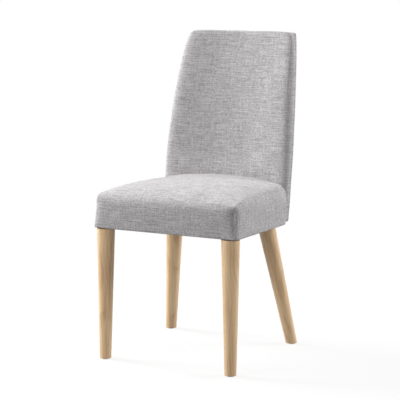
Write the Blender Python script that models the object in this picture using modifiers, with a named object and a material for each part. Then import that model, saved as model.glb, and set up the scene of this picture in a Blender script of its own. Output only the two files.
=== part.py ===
"""Armless upholstered side chair on four turned legs.

Units are metres and +Z is up. The chair stands on Z = 0 and faces -Y. The seat and the back are two
padded units that are bolted together. Each is modelled in the frame of its own empty: the seat's lies
at the middle of its front bottom edge, and the back's where its front face meets the seat.
"""

import math

import bmesh
import bpy
from mathutils import Matrix, Vector

# Fits and cloth
CLEARANCE = 0.0004
FABRIC = 0.0014
DUST_CLOTH = 0.0008
SEAM_GAP = 0.0008

# Seat cushion
SEAT_UNDERSIDE = 0.364
SEAT_TILT = math.radians(1.6)
SEAT_WIDTH_FRONT = 0.432
SEAT_WIDTH_REAR = 0.417
SEAT_DEPTH = 0.343
SEAT_EDGE_HEIGHT = 0.1055
SEAT_FRONT_FALL = 0.012
SEAT_FALL_SHARE = 0.4
SEAT_CROWN = 0.018
SEAT_CROWN_SHARE = 0.5
SEAT_BULGE = 0.003
SEAT_CORNER_ROUND = 0.038
SEAT_FRONT_ROUND = 0.038
SEAT_TOP_ROUND = 0.038
SEAT_REAR_ROUND = 0.014
SEAT_HEM_ROUND = 0.003
SEAT_PADDING = 0.010
DUST_COVER_INSET = 0.014
CLOTH_TURN = 0.001

# Seat frame
RAIL_HEIGHT = 0.055
RAIL_THICKNESS = 0.022
FRONT_BLOCK_WIDTH = 0.060
REAR_BLOCK_WIDTH = 0.095
BLOCK_DEPTH = 0.055
BLOCK_ROUND = 0.022
DOWEL_RADIUS = 0.004
DOWEL_LENGTH = 0.034

# Webbing
WEBBING = 0.0016
STRAP_WIDTH = 0.050
LONG_STRAP_PITCH = 0.090
CROSS_STRAP_PITCH = 0.080
STRAP_COUNT = 3
STRAP_END_INSET = 0.003

# Legs
LEG_TOP_DIAMETER = 0.049
LEG_FOOT_DIAMETER = 0.0315
FRONT_LEG_FROM_SIDE = 0.028
FRONT_LEG_FROM_FRONT = 0.024
FRONT_LEG_SPLAY = 0.003
FRONT_LEG_RAKE = 0.0045
REAR_LEG_FROM_SIDE = 0.065
REAR_LEG_FROM_BACK = 0.0085
REAR_LEG_SPLAY = 0.0515
REAR_LEG_RAKE = 0.069
LEG_TRIM = 0.030

# Leg fixings
HANGER_BOLT_RADIUS = 0.004
HANGER_BOLT_IN_LEG = 0.035
HANGER_BOLT_TIP = 0.002
TEE_NUT_BARREL_RADIUS = 0.0055
TEE_NUT_BARREL = 0.012
TEE_NUT_FLANGE_RADIUS = 0.010
TEE_NUT_FLANGE = 0.0016
TEE_NUT_HEIGHT = 0.046
GLIDE_RADIUS = 0.011
GLIDE_THICKNESS = 0.002
GLIDE_EDGE = 0.0007
GLIDE_NAIL_RADIUS = 0.0013
GLIDE_NAIL = 0.014

# Back cushion
BACK_LENGTH = 0.530
BACK_LEAN = math.radians(5.45)
BACK_BEND_RADIUS = 2.9
BACK_STRAIGHT = 0.115
BACK_WIDTH_BASE = 0.385
BACK_WIDTH_TOP = 0.326
BACK_THICKNESS = 0.0525
BACK_THICKNESS_TOP = 0.039
BACK_HOLLOW = 0.018
BACK_HOLLOW_RISE = 0.240
BACK_GAP = 0.0015
BACK_LIFT = 0.003
BACK_SIDE_ROUND = 0.024
BACK_FRONT_ROUND = 0.020
BACK_REAR_ROUND = 0.009
BACK_TOP_ROUND = 0.024
BACK_BOTTOM_ROUND = 0.012
BACK_SEAM_DEPTH = 0.026
BACK_PADDING = 0.012
BACK_TOP_PADDING = 0.015
BACK_BOTTOM_PADDING = 0.006

# Back frame
PANEL_FRONT = -0.009
PANEL_THICKNESS = 0.004
PANEL_GLUE_LINE = 0.0008
BACK_FRAME_DEPTH = 0.018
STILE_WIDTH = 0.028
TOP_RAIL_HEIGHT = 0.045
MIDDLE_RAIL_HEIGHT = 0.045
MIDDLE_RAIL_BASE = 0.270
LOWER_RAIL_HEIGHT = 0.062
PANEL_LAP = 0.012

# Bolts between seat and back
BACK_BOLT_RADIUS = 0.004
BACK_BOLT_LENGTH = 0.066
BACK_BOLT_HEAD_RADIUS = 0.0065
BACK_BOLT_HEAD = 0.004
BACK_BOLT_SHARE = 0.34
BACK_BOLT_RISE = 0.026
WASHER_RADIUS = 0.009
WASHER = 0.0015

# Fineness of round and bent shapes
LEG_SIDES = 96
HARDWARE_SIDES = 12
BLOCK_ROUND_STEPS = 4
BEND_STEPS = 8
BEND_PITCH = 0.040
SOFT_LEVEL = 1
SEAT_CAGE_ROWS = 3
BACK_CAGE_ROWS = 4
MERGE_DISTANCE = 0.00001

# Sizes that follow from the ones above
SKIN = FABRIC + 2 * CLEARANCE
RAIL_TOP = SKIN + RAIL_HEIGHT
STRAP_LEVEL = RAIL_TOP + CLEARANCE + WEBBING / 2
STRAP_WEAVE = (WEBBING + CLEARANCE) / 2
FOAM_FLOOR = STRAP_LEVEL + STRAP_WEAVE + WEBBING / 2 + CLEARANCE
SEAT_REAR_FACE = SEAT_DEPTH - SKIN - CLOTH_TURN
LEG_TOP = -(2 * CLEARANCE + DUST_CLOTH)
LEG_FOOT = GLIDE_THICKNESS + CLEARANCE
BACK_TO_SEAT_ANGLE = BACK_LEAN - SEAT_TILT
BACK_FRAME_FRONT = PANEL_FRONT + PANEL_THICKNESS + PANEL_GLUE_LINE
BACK_FRAME_REAR = BACK_FRAME_FRONT + BACK_FRAME_DEPTH
BACK_FRAME_TOP = BACK_LENGTH - BACK_TOP_PADDING
LOWER_RAIL_TOP = BACK_BOTTOM_PADDING + LOWER_RAIL_HEIGHT
SIDES = (("left", -1), ("right", 1))

# Finishes: colour, roughness, metallic
CLOTH = ((0.49, 0.48, 0.47), 0.95, 0.0)
ASH_WOOD = ((0.60, 0.42, 0.25), 0.45, 0.0)
FRAME_WOOD = ((0.50, 0.36, 0.22), 0.70, 0.0)
PLYWOOD = ((0.55, 0.42, 0.28), 0.65, 0.0)
FOAM = ((0.80, 0.74, 0.50), 0.95, 0.0)
WADDING = ((0.82, 0.82, 0.80), 0.95, 0.0)
STRAP_CLOTH = ((0.12, 0.12, 0.13), 0.85, 0.0)
DUST_BLACK = ((0.02, 0.02, 0.02), 0.90, 0.0)
ZINC = ((0.62, 0.62, 0.60), 0.35, 1.0)
NYLON = ((0.70, 0.68, 0.62), 0.50, 0.0)


def clear_scene():
    for item in list(bpy.data.objects):
        bpy.data.objects.remove(item)


def new_collection(name):
    made = bpy.data.collections.new(name)
    bpy.context.scene.collection.children.link(made)
    return made


def finish_material(name, finish):
    colour, roughness, metallic = finish
    material = bpy.data.materials.new(name)
    material.use_nodes = True
    shader = material.node_tree.nodes["Principled BSDF"]
    shader.inputs["Base Color"].default_value = (*colour, 1.0)
    shader.inputs["Roughness"].default_value = roughness
    shader.inputs["Metallic"].default_value = metallic
    return material


def new_empty(name, matrix, parent=None):
    empty = bpy.data.objects.new(name, None)
    parts.objects.link(empty)
    empty.parent = parent
    empty.matrix_local = matrix
    return empty


def new_object(name, mesh, parent, where):
    item = bpy.data.objects.new(name, mesh)
    where.objects.link(item)
    item.parent = parent
    return item


def add_part(name, mesh, finish, parent=None, smooth=False):
    if smooth:
        mesh.shade_smooth()
    mesh.materials.append(finish_material(name, finish))
    return new_object(name, mesh, parent, parts)


def add_cutter(name, mesh, parent=None):
    item = new_object(name, mesh, parent, cutters)
    item.hide_render = True
    item.display_type = "WIRE"
    return item


def cut(target, *tools, operation="DIFFERENCE"):
    for tool in tools:
        modifier = target.modifiers.new(tool.name, "BOOLEAN")
        modifier.operation = operation
        modifier.object = tool


def soften(item):
    modifier = item.modifiers.new("soft_form", "SUBSURF")
    modifier.levels = SOFT_LEVEL
    modifier.render_levels = SOFT_LEVEL


def thicken(item, thickness):
    """Gives an open surface a thickness on its inner side."""
    modifier = item.modifiers.new("cloth", "SOLIDIFY")
    modifier.thickness = thickness
    modifier.offset = -1.0
    modifier.use_even_offset = True


def steps(low, high, count):
    return [low + (high - low) * i / count for i in range(count + 1)]


def smooth_step(value):
    held = min(max(value, 0.0), 1.0)
    return held * held * (3 - 2 * held)


def inset(cuts, by):
    """The same cuts drawn in by that much at both ends."""
    middle = (cuts[0] + cuts[-1]) / 2
    share = 1 - 2 * by / (cuts[-1] - cuts[0])
    return [middle + (cut_at - middle) * share for cut_at in cuts]


def box_cage(cuts_x, cuts_y, cuts_z):
    """A box with an edge loop at each inner cut."""
    spans = [(cuts[0], cuts[-1]) for cuts in (cuts_x, cuts_y, cuts_z)]
    middle = Vector([(low + high) / 2 for low, high in spans])
    size = [high - low for low, high in spans]
    bm = bmesh.new()
    bmesh.ops.create_cube(bm, size=1.0, matrix=Matrix.Translation(middle) @ Matrix.Diagonal((*size, 1.0)))
    for axis, cuts in enumerate((cuts_x, cuts_y, cuts_z)):
        normal = Vector((0.0, 0.0, 0.0))
        normal[axis] = 1.0
        for cut_at in cuts[1:-1]:
            everything = [*bm.verts, *bm.edges, *bm.faces]
            bmesh.ops.bisect_plane(bm, geom=everything, plane_co=normal * cut_at, plane_no=normal)
    return bm


def shaped(name, bm, place):
    """Moves each point of a cage to where place says, and returns the mesh."""
    for vertex in bm.verts:
        vertex.co = place(*vertex.co)
    bmesh.ops.recalc_face_normals(bm, faces=bm.faces[:])
    if bm.calc_volume(signed=True) < 0:
        bmesh.ops.reverse_faces(bm, faces=bm.faces[:])
    mesh = bpy.data.meshes.new(name)
    bm.to_mesh(mesh)
    bm.free()
    return mesh


def drop_faces(bm, unwanted):
    faces = [face for face in bm.faces if unwanted(face.calc_center_median())]
    bmesh.ops.delete(bm, geom=faces, context="FACES")


def turned_mesh(name, profile, closed=False):
    """A profile of radius and height, listed down its outer side."""
    points = [(radius, 0.0, height) for radius, height in profile]
    edges = [(i, i + 1) for i in range(len(points) - 1)]
    if closed:
        edges.append((len(points) - 1, 0))
    mesh = bpy.data.meshes.new(name)
    mesh.from_pydata(points, edges, [])
    return mesh


def spin(item, sides):
    modifier = item.modifiers.new("turning", "SCREW")
    modifier.steps = sides
    modifier.render_steps = sides
    modifier.use_merge_vertices = True
    modifier.merge_threshold = MERGE_DISTANCE
    modifier.use_smooth_shade = True


def rod_profile(radius, top, bottom):
    return [(0.0, top), (radius, top), (radius, bottom), (0.0, bottom)]


# Shape of the seat


def seat_half_width(y):
    return (SEAT_WIDTH_FRONT + (SEAT_WIDTH_REAR - SEAT_WIDTH_FRONT) * y / SEAT_DEPTH) / 2


def seat_rear(x, height):
    """How far back the seat reaches to meet the back's front face."""
    bent = back_middle(x, height) - BACK_THICKNESS / 2
    return SEAT_DEPTH + height * math.tan(BACK_TO_SEAT_ANGLE) + bent


def seat_skin(across, along, up):
    """The cushion's outer face: across from -1 to 1, along and up from 0 to 1."""
    flank = 4 * up * (1 - up)
    half = seat_half_width(along * SEAT_DEPTH) + SEAT_BULGE * flank * 4 * along * (1 - along)
    x = across * half
    crown = SEAT_CROWN * (1 - across * across) * (1 - max(0.0, 1 - along / SEAT_CROWN_SHARE) ** 2)
    fall = SEAT_FRONT_FALL * max(0.0, 1 - along / SEAT_FALL_SHARE) ** 2
    height = up * (SEAT_EDGE_HEIGHT + crown - fall)
    front = -SEAT_BULGE * flank * (1 - across * across)
    return x, front + along * (seat_rear(x, height) - front), height


def seat_cuts(by):
    """Edge loops of the cushion's cage, with its faces drawn in by that much."""
    half = SEAT_WIDTH_FRONT / 2
    corner = 1 - SEAT_CORNER_ROUND / half
    front = SEAT_FRONT_ROUND / SEAT_DEPTH
    rear = 1 - SEAT_REAR_ROUND / SEAT_DEPTH
    hem = SEAT_HEM_ROUND / SEAT_EDGE_HEIGHT
    top = 1 - SEAT_TOP_ROUND / SEAT_EDGE_HEIGHT
    across = [-1.0, -corner, -corner / 2, 0.0, corner / 2, corner, 1.0]
    along = [0.0, front, *steps(front, rear, SEAT_CAGE_ROWS)[1:-1], rear, 1.0]
    up = [0.0, hem, top, 1.0]
    return inset(across, by / half), inset(along, by / SEAT_DEPTH), inset(up, by / SEAT_EDGE_HEIGHT)


# Shape of the back


def back_rise(z):
    """How far up the tapering part of the back a height lies, from 0 to 1."""
    return max(0.0, (z - BACK_STRAIGHT) / (BACK_LENGTH - BACK_STRAIGHT))


def back_half_width(z):
    return (BACK_WIDTH_BASE - (BACK_WIDTH_BASE - BACK_WIDTH_TOP) * back_rise(z) ** 2) / 2


def back_thickness(z):
    return BACK_THICKNESS - (BACK_THICKNESS - BACK_THICKNESS_TOP) * back_rise(z) ** 2


def back_middle(x, z):
    """The bent and hollowed middle surface of the back."""
    share = max(0.0, 1 - (2 * x / BACK_WIDTH_BASE) ** 2)
    hollow = BACK_HOLLOW * smooth_step(z / BACK_HOLLOW_RISE) * share
    return BACK_THICKNESS / 2 + z * z / (2 * BACK_BEND_RADIUS) + hollow


def back_place(x, depth, z):
    return x, back_middle(x, z) + depth, z


def back_skin(across, through, z):
    """The cushion's outer face: across from -1 to 1, through from -0.5 in front to 0.5 behind."""
    return back_place(across * back_half_width(z), through * back_thickness(z), z)


def back_cuts(by, front=True, rear=True):
    """Edge loops of the cushion's cage, whole or only in front of or behind its seam."""
    half = BACK_WIDTH_BASE / 2
    corner = 1 - BACK_SIDE_ROUND / half
    across = [-1.0, -corner, -corner / 2, 0.0, corner / 2, corner, 1.0]
    low = BACK_BOTTOM_ROUND
    high = BACK_LENGTH - BACK_TOP_ROUND
    up = [0.0, low, *steps(low, high, BACK_CAGE_ROWS)[1:-1], high, BACK_LENGTH]
    seam = BACK_SEAM_DEPTH / BACK_THICKNESS - 0.5
    gap = SEAM_GAP / BACK_THICKNESS / 2
    front_cuts = [-0.5, BACK_FRONT_ROUND / BACK_THICKNESS - 0.5]
    rear_cuts = [0.5 - BACK_REAR_ROUND / BACK_THICKNESS, 0.5]
    if front and rear:
        through = inset([*front_cuts, seam, *rear_cuts], by / BACK_THICKNESS)
    elif front:
        through = [*front_cuts, seam - gap]
    else:
        through = [seam + gap, *rear_cuts]
    return inset(across, by / half), through, inset(up, by)


# Seat unit


def seat_side_place(side):
    """Maps a distance in from the seat's side face to the left or right of the seat."""
    return lambda inward, y, h: (side * (seat_half_width(y) - inward), y, h)


def seat_span_place(short_by):
    """Maps -1 to 1 to the seat's width, less that much at each end."""
    return lambda across, y, h: (across * (seat_half_width(y) - short_by), y, h)


def round_upright_edges(bm, radius, wanted):
    edges = []
    for edge in bm.edges:
        run = edge.verts[1].co - edge.verts[0].co
        if abs(run.z) > abs(run.x) + abs(run.y) and wanted((edge.verts[0].co + edge.verts[1].co) / 2):
            edges.append(edge)
    bmesh.ops.bevel(bm, geom=edges, offset=radius, segments=BLOCK_ROUND_STEPS, profile=0.5, affect="EDGES")


def make_corner_block(end, name, side):
    width = FRONT_BLOCK_WIDTH if end == "front" else REAR_BLOCK_WIDTH
    outer = SEAT_PADDING if end == "front" else SEAT_REAR_FACE
    inner = outer + BLOCK_DEPTH if end == "front" else outer - BLOCK_DEPTH
    spans = [SEAT_PADDING, SEAT_PADDING + width], sorted([outer, inner]), [SKIN, RAIL_TOP]
    bm = box_cage(*spans)
    middle = (outer + inner) / 2
    round_upright_edges(
        bm, BLOCK_ROUND,
        lambda point: point.x < SEAT_PADDING + width / 2 and (point.y - middle) * (outer - middle) > 0,
    )
    title = f"corner_block_{end}_{name}"
    return add_part(title, shaped(title, bm, seat_side_place(side)), FRAME_WOOD, seat)


def make_seat_rails():
    rails = {}
    upright = [SKIN, RAIL_TOP]
    ends = {
        "front": (SEAT_PADDING, SEAT_PADDING + RAIL_THICKNESS, FRONT_BLOCK_WIDTH),
        "rear": (SEAT_REAR_FACE - RAIL_THICKNESS, SEAT_REAR_FACE, REAR_BLOCK_WIDTH),
    }
    for end, (start, stop, block) in ends.items():
        title = f"seat_{end}_rail"
        bm = box_cage([-1.0, 1.0], [start, stop], upright)
        place = seat_span_place(SEAT_PADDING + block + CLEARANCE)
        rails[end] = add_part(title, shaped(title, bm, place), FRAME_WOOD, seat)
    start = SEAT_PADDING + BLOCK_DEPTH + CLEARANCE
    stop = SEAT_REAR_FACE - BLOCK_DEPTH - CLEARANCE
    for name, side in SIDES:
        title = f"seat_{name}_rail"
        bm = box_cage([SEAT_PADDING, SEAT_PADDING + RAIL_THICKNESS], [start, stop], upright)
        rails[name] = add_part(title, shaped(title, bm, seat_side_place(side)), FRAME_WOOD, seat)
    return rails


def make_dowel(title, centre, turn, holders):
    """One dowel across a joint, and the blind bores that take its halves."""
    half = DOWEL_LENGTH / 2
    pin = add_part(title, turned_mesh(title, rod_profile(DOWEL_RADIUS, half, -half)), FRAME_WOOD, seat)
    deep = half + CLEARANCE
    bore_profile = rod_profile(DOWEL_RADIUS + CLEARANCE, deep, -deep)
    bore = add_cutter(f"{title}_bore", turned_mesh(f"{title}_bore", bore_profile), seat)
    for item in (pin, bore):
        item.location = centre
        item.rotation_euler = turn
        spin(item, HARDWARE_SIDES)
    for holder in holders:
        cut(holder, bore)


def make_dowels(rails, blocks):
    level = SKIN + RAIL_HEIGHT / 2
    along_x = (0.0, math.pi / 2, 0.0)
    along_y = (math.pi / 2, 0.0, 0.0)
    across_joints = {
        "front": (SEAT_PADDING + RAIL_THICKNESS / 2, FRONT_BLOCK_WIDTH),
        "rear": (SEAT_REAR_FACE - RAIL_THICKNESS / 2, REAR_BLOCK_WIDTH),
    }
    along_joints = {"front": SEAT_PADDING + BLOCK_DEPTH, "rear": SEAT_REAR_FACE - BLOCK_DEPTH}
    for name, side in SIDES:
        for end, (y, width) in across_joints.items():
            x = side * (seat_half_width(y) - SEAT_PADDING - width)
            holders = (rails[end], blocks[end, name])
            make_dowel(f"dowel_{end}_rail_{name}", (x, y, level), along_x, holders)
        for end, y in along_joints.items():
            x = side * (seat_half_width(y) - SEAT_PADDING - RAIL_THICKNESS / 2)
            holders = (rails[name], blocks[end, name])
            make_dowel(f"dowel_{name}_rail_{end}", (x, y, level), along_y, holders)


def strap_levels(start, stop, crossings, first_over, held):
    """Where a strap bends along its length, and how far it lies above or below its level there."""
    lap = STRAP_WIDTH / 2 + 2 * CLEARANCE
    levels = {start: 0.0, start + held: 0.0}
    over = first_over
    for crossing in crossings:
        levels[crossing - lap] = STRAP_WEAVE * over
        levels[crossing + lap] = STRAP_WEAVE * over
        over = -over
    levels[stop - held] = 0.0
    levels[stop] = 0.0
    return levels


def make_webbing():
    """Three straps each way on top of the rails, woven over and under each other."""
    order = range(STRAP_COUNT)
    middle = (SEAT_PADDING + SEAT_REAR_FACE) / 2
    long_places = [(i - (STRAP_COUNT - 1) / 2) * LONG_STRAP_PITCH for i in order]
    cross_places = [middle + (i - (STRAP_COUNT - 1) / 2) * CROSS_STRAP_PITCH for i in order]
    thick = [-WEBBING / 2, WEBBING / 2]
    for i in order:
        title = f"webbing_long_{i + 1}"
        start = SEAT_PADDING + STRAP_END_INSET
        stop = SEAT_REAR_FACE - STRAP_END_INSET
        levels = strap_levels(start, stop, cross_places, 1 if i % 2 else -1, BLOCK_DEPTH)
        bm = box_cage([-STRAP_WIDTH / 2, STRAP_WIDTH / 2], sorted(levels), thick)
        mesh = shaped(title, bm, strap_place(levels, long_places[i], 1))
        add_part(title, mesh, STRAP_CLOTH, seat)
    for i in order:
        title = f"webbing_cross_{i + 1}"
        reach = seat_half_width(cross_places[i] + STRAP_WIDTH / 2) - SEAT_PADDING - STRAP_END_INSET
        levels = strap_levels(-reach, reach, long_places, -1 if i % 2 else 1, RAIL_THICKNESS)
        bm = box_cage(sorted(levels), [-STRAP_WIDTH / 2, STRAP_WIDTH / 2], thick)
        mesh = shaped(title, bm, strap_place(levels, cross_places[i], 0))
        add_part(title, mesh, STRAP_CLOTH, seat)


def strap_place(levels, centre, length_axis):
    """Lifts each bend of a strap to its level, at the strap's place across the seat."""

    def place(x, y, h):
        at = (x, y)[length_axis]
        nearest = min(levels, key=lambda known: abs(known - at))
        height = STRAP_LEVEL + levels[nearest] + h
        return (x, y + centre, height) if length_axis == 0 else (x + centre, y, height)

    return place


def make_seat_padding():
    """The foam cap over the webbing, which also pads the front and the sides of the frame."""
    foam = add_part("seat_foam", shaped("seat_foam", box_cage(*seat_cuts(SKIN)), seat_skin), FOAM, seat, True)
    soften(foam)
    front = SEAT_PADDING - CLEARANCE
    through_rear = SEAT_DEPTH + BACK_THICKNESS
    bm = box_cage([-1.0, 1.0], [front, through_rear], [-RAIL_HEIGHT, FOAM_FLOOR])
    mesh = shaped("seat_frame_room", bm, seat_span_place(SEAT_PADDING - CLEARANCE))
    bm = bmesh.new()
    bm.from_mesh(mesh)
    round_upright_edges(bm, BLOCK_ROUND, lambda point: point.y < SEAT_DEPTH / 2)
    bm.to_mesh(mesh)
    bm.free()
    cut(foam, add_cutter("seat_frame_room", mesh, seat))


def make_seat_cover():
    """The sewn cloth, open below but for the hem that turns under the frame."""
    across, along, up = seat_cuts(0.0)
    bm = box_cage(across, along, up)
    drop_faces(
        bm,
        lambda point: point.z < up[1] / 2 and abs(point.x) < across[-2] and along[1] < point.y < along[-2],
    )
    cover = add_part("seat_cover", shaped("seat_cover", bm, seat_skin), CLOTH, seat, True)
    soften(cover)
    thicken(cover, FABRIC)
    return cover


def make_dust_cover():
    span = [DUST_COVER_INSET, SEAT_DEPTH - DUST_COVER_INSET]
    bm = box_cage([-1.0, 1.0], span, [-CLEARANCE - DUST_CLOTH, -CLEARANCE])
    mesh = shaped("dust_cover", bm, seat_span_place(DUST_COVER_INSET))
    return add_part("dust_cover", mesh, DUST_BLACK, seat)


# Legs and their fixings


def make_leg_room():
    """The space between the floor glides and the seat's underside, which trims every leg."""
    reach = SEAT_WIDTH_FRONT
    bm = box_cage([-reach, reach], [-SEAT_DEPTH, 2 * SEAT_DEPTH], [0.0, 1.0])

    def place(x, y, up):
        top = seat_matrix @ Vector((x, y, LEG_TOP))
        return (top.x, top.y, top.z) if up > 0.5 else (top.x, top.y, LEG_FOOT)

    return add_cutter("leg_room", shaped("leg_room", bm, place))


def leg_ends(end, side):
    """The middle of a leg's top, and of its foot on the floor."""
    if end == "front":
        y = FRONT_LEG_FROM_FRONT
        x = seat_half_width(y) - FRONT_LEG_FROM_SIDE
        lean = Vector((side * FRONT_LEG_SPLAY, -FRONT_LEG_RAKE, 0.0))
    else:
        y = SEAT_DEPTH - REAR_LEG_FROM_BACK
        x = seat_half_width(y) - REAR_LEG_FROM_SIDE
        lean = Vector((side * REAR_LEG_SPLAY, REAR_LEG_RAKE, 0.0))
    top = seat_matrix @ Vector((side * x, y, LEG_TOP))
    foot = Vector((top.x, top.y, 0.0)) + lean
    return top, foot


def make_leg(end, name, side, room):
    title = f"{end}_{name}_leg"
    top, foot = leg_ends(end, side)
    length = (foot - top).length
    slope = (LEG_TOP_DIAMETER - LEG_FOOT_DIAMETER) / 2 / length
    above = LEG_TOP_DIAMETER / 2 + slope * LEG_TRIM
    below = LEG_FOOT_DIAMETER / 2 - slope * LEG_TRIM
    profile = [(0.0, LEG_TRIM), (above, LEG_TRIM), (below, -length - LEG_TRIM), (0.0, -length - LEG_TRIM)]
    leg = add_part(title, turned_mesh(title, profile), ASH_WOOD)
    spin(leg, LEG_SIDES)
    leg.location = top
    leg.rotation_mode = "QUATERNION"
    leg.rotation_quaternion = (foot - top).to_track_quat("-Z", "Y")
    cut(leg, room, operation="INTERSECT")
    bolt_room = add_cutter(
        f"{title}_bolt_bore",
        turned_mesh(
            f"{title}_bolt_bore",
            rod_profile(HANGER_BOLT_RADIUS + CLEARANCE, LEG_TRIM, -HANGER_BOLT_IN_LEG - CLEARANCE),
        ),
        leg,
    )
    spin(bolt_room, HARDWARE_SIDES)
    cut(leg, bolt_room)
    make_leg_glide(end, name, foot, leg)
    return leg


def make_leg_glide(end, name, foot, leg):
    """A nylon disc under the foot, with its nail up the leg."""
    title = f"foot_glide_{end}_{name}"
    nail_top = GLIDE_THICKNESS + GLIDE_NAIL
    profile = [
        (0.0, nail_top),
        (GLIDE_NAIL_RADIUS, nail_top),
        (GLIDE_NAIL_RADIUS, GLIDE_THICKNESS),
        (GLIDE_RADIUS - GLIDE_EDGE, GLIDE_THICKNESS),
        (GLIDE_RADIUS, GLIDE_THICKNESS - GLIDE_EDGE),
        (GLIDE_RADIUS, GLIDE_EDGE),
        (GLIDE_RADIUS - GLIDE_EDGE, 0.0),
        (0.0, 0.0),
    ]
    glide = add_part(title, turned_mesh(title, profile), NYLON)
    bore_profile = rod_profile(GLIDE_NAIL_RADIUS + CLEARANCE, nail_top + CLEARANCE, -GLIDE_THICKNESS)
    bore = add_cutter(f"{title}_bore", turned_mesh(f"{title}_bore", bore_profile))
    for item in (glide, bore):
        item.location = foot
        spin(item, HARDWARE_SIDES)
    cut(leg, bore)


def make_leg_fixing(end, name, leg, block, cloths):
    """The hanger bolt up the leg's axis, and the tee nut that it pulls down in the corner block."""
    bolt_title = f"hanger_bolt_{end}_{name}"
    tip = TEE_NUT_HEIGHT + TEE_NUT_FLANGE + HANGER_BOLT_TIP
    bolt_profile = rod_profile(HANGER_BOLT_RADIUS, tip, -HANGER_BOLT_IN_LEG)
    bolt = add_part(bolt_title, turned_mesh(bolt_title, bolt_profile), ZINC, leg)
    nut_title = f"tee_nut_{end}_{name}"
    seat_face = TEE_NUT_HEIGHT
    bore = HANGER_BOLT_RADIUS + CLEARANCE
    nut_profile = [
        (bore, seat_face + TEE_NUT_FLANGE),
        (TEE_NUT_FLANGE_RADIUS, seat_face + TEE_NUT_FLANGE),
        (TEE_NUT_FLANGE_RADIUS, seat_face),
        (TEE_NUT_BARREL_RADIUS, seat_face),
        (TEE_NUT_BARREL_RADIUS, seat_face - TEE_NUT_BARREL),
        (bore, seat_face - TEE_NUT_BARREL),
    ]
    nut = add_part(nut_title, turned_mesh(nut_title, nut_profile, closed=True), ZINC, leg)
    above = RAIL_TOP + LEG_TRIM
    wide = TEE_NUT_FLANGE_RADIUS + 2 * CLEARANCE
    narrow = TEE_NUT_BARREL_RADIUS + CLEARANCE
    room_title = f"{nut_title}_room"
    room_profile = [
        (0.0, above),
        (wide, above),
        (wide, seat_face - CLEARANCE),
        (narrow, seat_face - CLEARANCE),
        (narrow, seat_face - TEE_NUT_BARREL - CLEARANCE),
        (bore, seat_face - TEE_NUT_BARREL - CLEARANCE),
        (bore, -CLEARANCE),
        (0.0, -CLEARANCE),
    ]
    room = add_cutter(room_title, turned_mesh(room_title, room_profile), leg)
    for item in (bolt, nut, room):
        spin(item, HARDWARE_SIDES)
    cut(block, room)
    for cloth in cloths:
        cut(cloth, room)


# Back unit


def back_side_place(side):
    """Maps a distance in from the back's side face to the left or right of the back."""
    return lambda inward, depth, z: back_place(side * (back_half_width(z) - inward), depth, z)


def back_span_place(short_by):
    """Maps -1 to 1 to the back's width, less that much at each end."""
    return lambda across, depth, z: back_place(across * (back_half_width(z) - short_by), depth, z)


def back_stations(low, high):
    """Heights at which a piece of the back bends, the same ones for every piece but for its two ends."""
    first = math.floor(low / BEND_PITCH) + 1
    last = math.ceil(high / BEND_PITCH)
    return [low, *[i * BEND_PITCH for i in range(first, last)], high]


def make_back_frame():
    depth = [BACK_FRAME_FRONT, BACK_FRAME_REAR]
    across = steps(-1.0, 1.0, BEND_STEPS)
    upright = back_stations(BACK_BOTTOM_PADDING, BACK_FRAME_TOP)
    for name, side in SIDES:
        title = f"back_{name}_stile"
        bm = box_cage([BACK_PADDING, BACK_PADDING + STILE_WIDTH], depth, upright)
        add_part(title, shaped(title, bm, back_side_place(side)), FRAME_WOOD, back)
    spans = {
        "lower": (BACK_BOTTOM_PADDING, LOWER_RAIL_TOP),
        "middle": (MIDDLE_RAIL_BASE, MIDDLE_RAIL_BASE + MIDDLE_RAIL_HEIGHT),
        "top": (BACK_FRAME_TOP - TOP_RAIL_HEIGHT, BACK_FRAME_TOP),
    }
    rails = {}
    place = back_span_place(BACK_PADDING + STILE_WIDTH + CLEARANCE)
    for level, (low, high) in spans.items():
        title = f"back_{level}_rail"
        bm = box_cage(across, depth, back_stations(low, high))
        rails[level] = add_part(title, shaped(title, bm, place), FRAME_WOOD, back)
    panel_depth = [PANEL_FRONT, PANEL_FRONT + PANEL_THICKNESS]
    panel_upright = back_stations(LOWER_RAIL_TOP - PANEL_LAP, BACK_FRAME_TOP)
    bm = box_cage(across, panel_depth, panel_upright)
    add_part("back_panel", shaped("back_panel", bm, back_span_place(BACK_PADDING)), PLYWOOD, back)
    return rails


def make_back_padding():
    """Foam in front of the frame and thinner padding behind it, which meet half way through."""
    room = 3 * CLEARANCE
    across = steps(-1.0, 1.0, BEND_STEPS)
    upright = back_stations(BACK_BOTTOM_PADDING - room, BACK_FRAME_TOP + room)
    depth = [PANEL_FRONT - room, BACK_FRAME_REAR + room]
    bm = box_cage(across, depth, upright)
    frame_mesh = shaped("back_frame_room", bm, back_span_place(BACK_PADDING - room))
    frame_room = add_cutter("back_frame_room", frame_mesh, back)
    beyond = BACK_THICKNESS
    everywhere = back_stations(-beyond, BACK_LENGTH + beyond)
    halves = {
        "back_foam": ([-CLEARANCE, beyond], FOAM),
        "back_rear_padding": ([-beyond, CLEARANCE], WADDING),
    }
    made = {}
    for title, (other_half, finish) in halves.items():
        mesh = shaped(title, box_cage(*back_cuts(SKIN)), back_skin)
        pad = add_part(title, mesh, finish, back, True)
        soften(pad)
        bm = box_cage(across, other_half, everywhere)
        half_mesh = shaped(f"{title}_end", bm, back_span_place(-beyond))
        cut(pad, frame_room, add_cutter(f"{title}_end", half_mesh, back))
        made[title] = pad
    return made


def make_back_covers():
    covers = {}
    for title, front in (("back_front_cover", True), ("back_rear_cover", False)):
        across, through, up = back_cuts(0.0, front=front, rear=not front)
        seam = through[-1] if front else through[0]
        bm = box_cage(across, through, up)
        drop_faces(bm, lambda point, seam=seam: abs(point.y - seam) < SEAM_GAP)
        covers[title] = add_part(title, shaped(title, bm, back_skin), CLOTH, back, True)
        soften(covers[title])
        thicken(covers[title], FABRIC)
    return covers


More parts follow.
